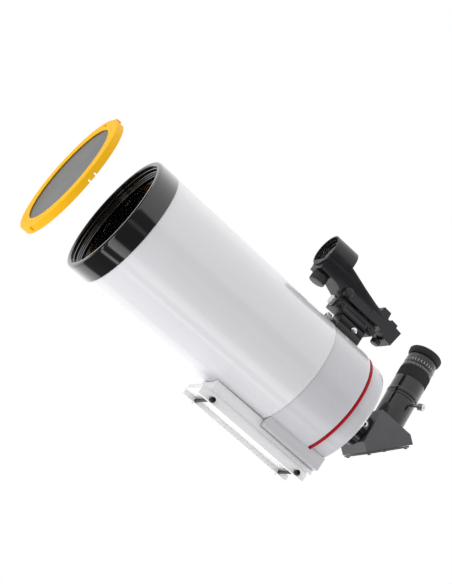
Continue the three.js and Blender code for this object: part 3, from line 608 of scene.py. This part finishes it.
black_plastic = finish("black_plastic", (0.011, 0.011, 0.013), 0.36, coat=0.1, mottle=60, shift=0.12,
                       spread=0.08, grain=1400, relief=0.18)
shoe_section = [
    (-15, 65.5), (15, 65.5), (15, 77), (9.5, 77), (12, 72.6), (-12, 72.6), (-9.5, 77), (-15, 77),
]
shoe = carved(extruded(shoe_section, "x", 276, 311, TUBE), bevel=0.0005,
              cutters=[rod("x", CENTRE, 69.6, 270, 315, TUBE, facets=TUBE_FACETS)])
piece("shoe", shoe, black_plastic, "tube", "finder_shoe")
foot_section = [(-11.2, 73), (11.2, 73), (9, 77.2), (10, 79), (10, 88.3), (-10, 88.3), (-10, 79), (-9, 77.2)]
finder_foot = carved(extruded(foot_section, "x", 277, 313, TUBE), bevel=0.0004)
piece("foot", finder_foot, black_plastic, "finder_mount", "finder_foot")
foot_thumbscrew = thumbscrew("x", (0, 0, 77.4), TUBE, bright_steel, radius=4.6, head=(264.5, 271), shank=2.4,
                             tip=276.6)
piece("foot_thumbscrew", foot_thumbscrew, bright_steel, "foot_clamp", "shoe_screw")
dome_outline = [[-10.3, 0], [-10.3, 4.2], [-11.6, 4.1], [-12.9, 3], [-13.4, 1.4], [-13.4, 0]]
dome = turned(dome_outline, TUBE @ Matrix.Translation((299, 0, 81.7)), "y", soft=0.4, facets=48)
piece("foot_dome", dome, bright_steel, "finder_mount", "foot_screw")

# ---- Finder base and cradle -----------------------------------------------------------------
# A moulded bar with two socket screws in its side and a knurled steel disc at its front. The
# cradle turns on its pin, and a cross pin lets the body tilt.

charcoal_plastic = finish("charcoal_plastic", (0.012, 0.012, 0.016), 0.38, coat=0.08, mottle=50,
                          shift=0.1, spread=0.08, grain=1300, relief=0.25)
base = carved(block((264, 322), (-12, 12), (88.7, 98.2), TUBE), bevel=0.0006, cutters=(
    block((319, 323), (-13, 13), (87.7, 91.7), TUBE),
    block((275, 306), (-12.6, -11.3), (92, 97), TUBE),
), additions=[rod("z", (304, 0, 0), 3, 97.2, 102.8, TUBE)])
piece("base_bar", base, charcoal_plastic, "finder_mount", "finder_base")
DISC_CENTRE = (0, 0, 96.6)
disc = rod("x", DISC_CENTRE, 6, 258.6, 263.6, TUBE, facets=64, soft=0.4)
ribbed(disc, "x", DISC_CENTRE, TUBE, bright_steel, ring=5.95, rib=0.4, start=259.1, end=263.1, count=40)
piece("base_disc", disc, bright_steel, "finder_mount", "base_screw")
socket_outline = [[-12.3, 0], [-12.3, 3], [-13.6, 2.8], [-13.6, 1.5], [-12.9, 1.5], [-12.9, 0]]
for node, x in (("base_hex_front", 270), ("base_hex_rear", 312.5)):
    head = turned(socket_outline, TUBE @ Matrix.Translation((x, 0, 94.6)), "y", soft=0.2, facets=32)
    piece(f"{node}_head", head, black_steel, "finder_mount", node)
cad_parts["finder_cradle"].data.materials[0] = black_plastic
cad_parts["finder_pivot"].data.materials[0] = bright_steel

# ---- Finder body ----------------------------------------------------------------------------
# Two moulded halves that form a wedge, with a hooded ring at the front and a lamp housing at the
# back. A coated window in the ring shows the lamp's red dot.

HOOD_CENTRE = (0, 0, 136)
BATTERY_CENTRE = (306, 0, 112.8)
ALTITUDE_SCREW = (233, 0, 0)
AZIMUTH_SCREW = (333, 0, 0)
profile = [
    (223, 110.6), (248, 109.4), (261.5, 104.7), (326.8, 104.3), (333.6, 98.4), (345.4, 97.6), (348.6, 117.4),
    (340, 118.2), (339.6, 121.6), (330.4, 122.2), (329.4, 119.3), (325.4, 119.8), (324.6, 127.4),
    (314, 127.8), (312.4, 121.2), (281, 127), (251, 133.5), (223, 133.5),
]
plan = [
    (223, -19.3), (255, -19.3), (302, -13), (349, -12), (349, 12), (302, 13), (255, 19.3), (223, 19.3),
]
section = [
    (-12.5, 90), (12.5, 90), (12.5, 116), (19.3, 130), (19.3, 150), (-19.3, 150), (-19.3, 130),
    (-12.5, 116),
]
wedge = extruded(profile, "y", -25, 25, TUBE)
for kept in (extruded(plan, "z", 90, 150, TUBE), extruded(section, "x", 210, 360, TUBE)):
    waste = carved(block((200, 370), (-60, 60), (80, 160), TUBE), cutters=[kept])
    wedge = carved(wedge, cutters=[waste])
AT_HOOD = TUBE @ Matrix.Translation(HOOD_CENTRE)
trough_outline = [[220, 0], [220, 18.4], [252, 18.4], [313, 9.6], [313, 0]]
trough = carved(turned(trough_outline, AT_HOOD, soft=0),
                cutters=[block((219, 223), (-25, 25), (100, 122.4), TUBE)])
hood = rod("x", HOOD_CENTRE, 20.3, 221, 252, TUBE, facets=96)
cutters = (
    trough,
    rod("z", ALTITUDE_SCREW, 3.4, 100, 117, TUBE),
    rod("z", AZIMUTH_SCREW, 3, 90, 103, TUBE),
    block((281, 291), (-6, 6), (100, 110.5), TUBE),
    rod("x", (0, 0, 124.6), 2, 310, 318.4, TUBE),
    rod("y", BATTERY_CENTRE, 6.8, 9, 20, TUBE),
    block((277, 303), (-20, -12.1), (109.6, 115.4), TUBE),
)
body = carved(wedge, bevel=0.0005, cutters=cutters, additions=[hood])
piece("finder_shell", body, charcoal_plastic, "finder", "finder_body")
window_glass = glass("window_glass", (0.95, 0.97, 1.0), (1.0, 0.55, 0.45))
window_outline = [[226, 0], [226, 18], [228.4, 18], [229.2, 9], [229.6, 0]]
piece("window", turned(window_outline, AT_HOOD, soft=0.1), window_glass, "finder", "finder_window")
bezel_outline = [[223.6, 16.8], [223.6, 18], [225.4, 18], [225.4, 16.8]]
piece("window_bezel", turned(bezel_outline, AT_HOOD, soft=0.2), black_plastic, "finder", "window_ring")
red_lamp = finish("red_lamp", (0.55, 0.01, 0.01), 0.15, coat=0.5, mottle=300, relief=0.02)
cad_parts["finder_lamp"].data.materials[0] = red_lamp
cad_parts["finder_battery"].data.materials[0] = bright_steel
door_outline = [[11.6, 0], [11.6, 6.4], [13.4, 6.3], [13.4, 3.4], [12.8, 3], [12.8, 0]]
door = turned(door_outline, TUBE @ Matrix.Translation(BATTERY_CENTRE), "y", soft=0.2, facets=48)
piece("battery_lid", door, charcoal_plastic, "battery_cap", "battery_door")

# ---- Finder knobs ---------------------------------------------------------------------------
# Ribbed moulded knobs under the front and the back aim the finder, and a plain one on the left
# side sets how bright the dot is.

altitude_outline = [
    [98.8, 0], [98.8, 8], [99.4, 8.8], [108.4, 8.8], [109, 8.2], [109, 3], [113, 3], [113, 0],
]
altitude = turned(altitude_outline, TUBE @ Matrix.Translation(ALTITUDE_SCREW), "z", soft=0.3, facets=64)
ribbed(altitude, "z", ALTITUDE_SCREW, TUBE, black_plastic, ring=8.8, rib=0.8, start=99.2, end=108.7, count=20)
piece("altitude_grip", altitude, black_plastic, "finder_altitude", "altitude_knob")
azimuth_outline = [
    [90.6, 0], [90.6, 5], [91.1, 5.5], [96, 5.5], [96.4, 5], [96.4, 2.6], [101.5, 2.6], [101.5, 0],
]
azimuth = turned(azimuth_outline, TUBE @ Matrix.Translation(AZIMUTH_SCREW), "z", soft=0.25, facets=48)
ribbed(azimuth, "z", AZIMUTH_SCREW, TUBE, black_plastic, ring=5.45, rib=0.3, start=91.2, end=95.9, count=32)
piece("azimuth_grip", azimuth, black_plastic, "finder_azimuth", "azimuth_knob")
dimmer_outline = [[-18.2, 0], [-18.2, 4.6], [-17.4, 5.8], [-12.9, 6.5], [-12.9, 0]]
dimmer = turned(dimmer_outline, TUBE @ Matrix.Translation((266.3, 0, 109.4)), "y", soft=0.5, facets=64)
piece("dimmer_grip", dimmer, charcoal_plastic, "finder_dimmer", "brightness_knob")

# ---- Studio ---------------------------------------------------------------------------------
# A plain pale floor, a pale surround and broad soft lamps. The camera is low on the left with a
# long lens, and rolled so that the front of the tube points up and to the left.

paper = finish("paper", (0.95, 0.95, 0.95), 0.9, mottle=2, shift=0.01, grain=300, relief=0.02)
floor_mesh = bpy.data.meshes.new("floor")
FLOOR_REACH = 60
FLOOR_Z = -2
floor_corners = [(x * FLOOR_REACH, y * FLOOR_REACH, FLOOR_Z) for x, y in ((-1, -1), (1, -1), (1, 1), (-1, 1))]
floor_mesh.from_pydata(floor_corners, [], [(0, 1, 2, 3)])
floor_mesh.materials.append(paper)
floor = bpy.data.objects.new("floor", floor_mesh)
bpy.context.collection.objects.link(floor)
floor.visible_glossy = False

# The surround lights evenly. In reflections it is a dark room with a broad white wall on either
# side of the tube, and narrow strip lights between them. ROOM gives its light at angles around the
# tube, in degrees from the direction NEARER towards ASIDE, which is up and to the right.
ALONG = Vector((1, 0, 0))
NEARER = Vector((0, -0.937, -0.349))
ASIDE = Vector((0, -0.349, 0.937))
SURROUND_LIGHT = 0.72
THROUGH_GLASS_LIGHT = 0.08
ROOM = [
    (-180, 0.8), (-150, 1.3), (-112, 1.0), (-106, 0.10), (-63, 0.08), (-61, 1.7), (-58, 1.7), (-56, 0.08),
    (-46, 0.10), (-44, 2.0), (-40, 1.6), (-31, 1.2), (-27, 0.08), (5, 0.08), (8, 0.35), (12, 0.35),
    (15, 0.1), (34, 0.12), (38, 0.9), (80, 1.1), (130, 1.4), (180, 0.8),
]
surround = bpy.data.worlds.new("surround")
surround.use_nodes = True
world_nodes = surround.node_tree.nodes
join = surround.node_tree.links.new
sky = world_nodes["Background"]
sky.inputs["Strength"].default_value = SURROUND_LIGHT
direction = world_nodes.new("ShaderNodeTexCoord")
sideways = []
for axis in (ASIDE, NEARER):
    share = world_nodes.new("ShaderNodeVectorMath")
    share.operation = "DOT_PRODUCT"
    share.inputs[1].default_value = axis
    join(direction.outputs["Generated"], share.inputs[0])
    sideways.append(share.outputs["Value"])
turn = world_nodes.new("ShaderNodeMath")
turn.operation = "ARCTAN2"
join(sideways[0], turn.inputs[0])
join(sideways[1], turn.inputs[1])
span = world_nodes.new("ShaderNodeMapRange")
span.inputs["From Min"].default_value = -math.pi
span.inputs["From Max"].default_value = math.pi
join(turn.outputs["Value"], span.inputs["Value"])
walls = world_nodes.new("ShaderNodeValToRGB")
stops = walls.color_ramp.elements
while len(stops) < len(ROOM):
    stops.new(0.5)
for stop, (degrees, light) in zip(stops, ROOM):
    stop.position = degrees / 360 + 0.5
    stop.color = (light, light, light, 1)
join(span.outputs["Result"], walls.inputs["Fac"])
reflected = world_nodes.new("ShaderNodeBackground")
join(walls.outputs["Color"], reflected.inputs["Color"])
seen = world_nodes.new("ShaderNodeBackground")
through = world_nodes.new("ShaderNodeBackground")
through.inputs["Strength"].default_value = THROUGH_GLASS_LIGHT
rays = world_nodes.new("ShaderNodeLightPath")
shown = sky
lights_by_ray = {"Is Glossy Ray": reflected, "Is Transmission Ray": through, "Is Camera Ray": seen}
for kind, other in lights_by_ray.items():
    choice = world_nodes.new("ShaderNodeMixShader")
    join(rays.outputs[kind], choice.inputs["Fac"])
    join(shown.outputs[0], choice.inputs[1])
    join(other.outputs[0], choice.inputs[2])
    shown = choice
join(shown.outputs[0], world_nodes["World Output"].inputs["Surface"])
for light in (sky, seen, through):
    light.inputs["Color"].default_value = (1, 1, 1, 1)
bpy.context.scene.world = surround

CAMERA_PLACE = Vector((-0.6534, -1.657, -0.5105))
CAMERA_TURN = tuple(math.radians(angle) for angle in (113.519, -33.148, -31.493))
lens = bpy.data.cameras.new("camera")
lens.sensor_fit = "VERTICAL"
lens.sensor_height = 36
lens.lens = 104.8
lens.clip_start = 0.05
camera = bpy.data.objects.new("camera", lens)
camera.location = CAMERA_PLACE
camera.rotation_euler = CAMERA_TURN
bpy.context.collection.objects.link(camera)
bpy.context.scene.camera = camera

bpy.context.scene.view_settings.view_transform = "Standard"

# Three broad boxes light the tube from either side and from its front without being mirrored in
# it. A strip beyond the eyepiece puts a bright line down the black barrels. Each is given by how
# far it is up and to the right, towards the camera and along the tube, its size, its power, and
# whether it is mirrored.
TARGET = Vector((-0.02, 0, 0.09))
LAMPS = {
    "lower_box": (-1.1, 0.1, 0.0, (1.6, 1.0), 8, False),
    "upper_box": (1.0, -0.5, 0.0, (1.6, 1.0), 3, False),
    "front_box": (0.0, 0.3, -1.6, (1.2, 1.2), 9, False),
    "end_strip": (0.36, 0.3, 1.5, (0.6, 0.14), 4.0, True),
}
for name, (aside, nearer, along, size, power, mirrored) in LAMPS.items():
    lamp_data = bpy.data.lights.new(name, "AREA")
    lamp_data.shape = "RECTANGLE"
    lamp_data.size, lamp_data.size_y = size
    lamp_data.energy = power
    lamp = bpy.data.objects.new(name, lamp_data)
    lamp.visible_glossy = mirrored
    lamp.location = TARGET + ASIDE * aside + NEARER * nearer + ALONG * along
    facing = (lamp.location - TARGET).normalized()
    lengthwise = (ALONG - facing * ALONG.dot(facing)).normalized()
    lamp.matrix_world = Matrix.Translation(lamp.location) @ Matrix(
        (lengthwise, facing.cross(lengthwise), facing)).transposed().to_4x4()
    bpy.context.collection.objects.link(lamp)
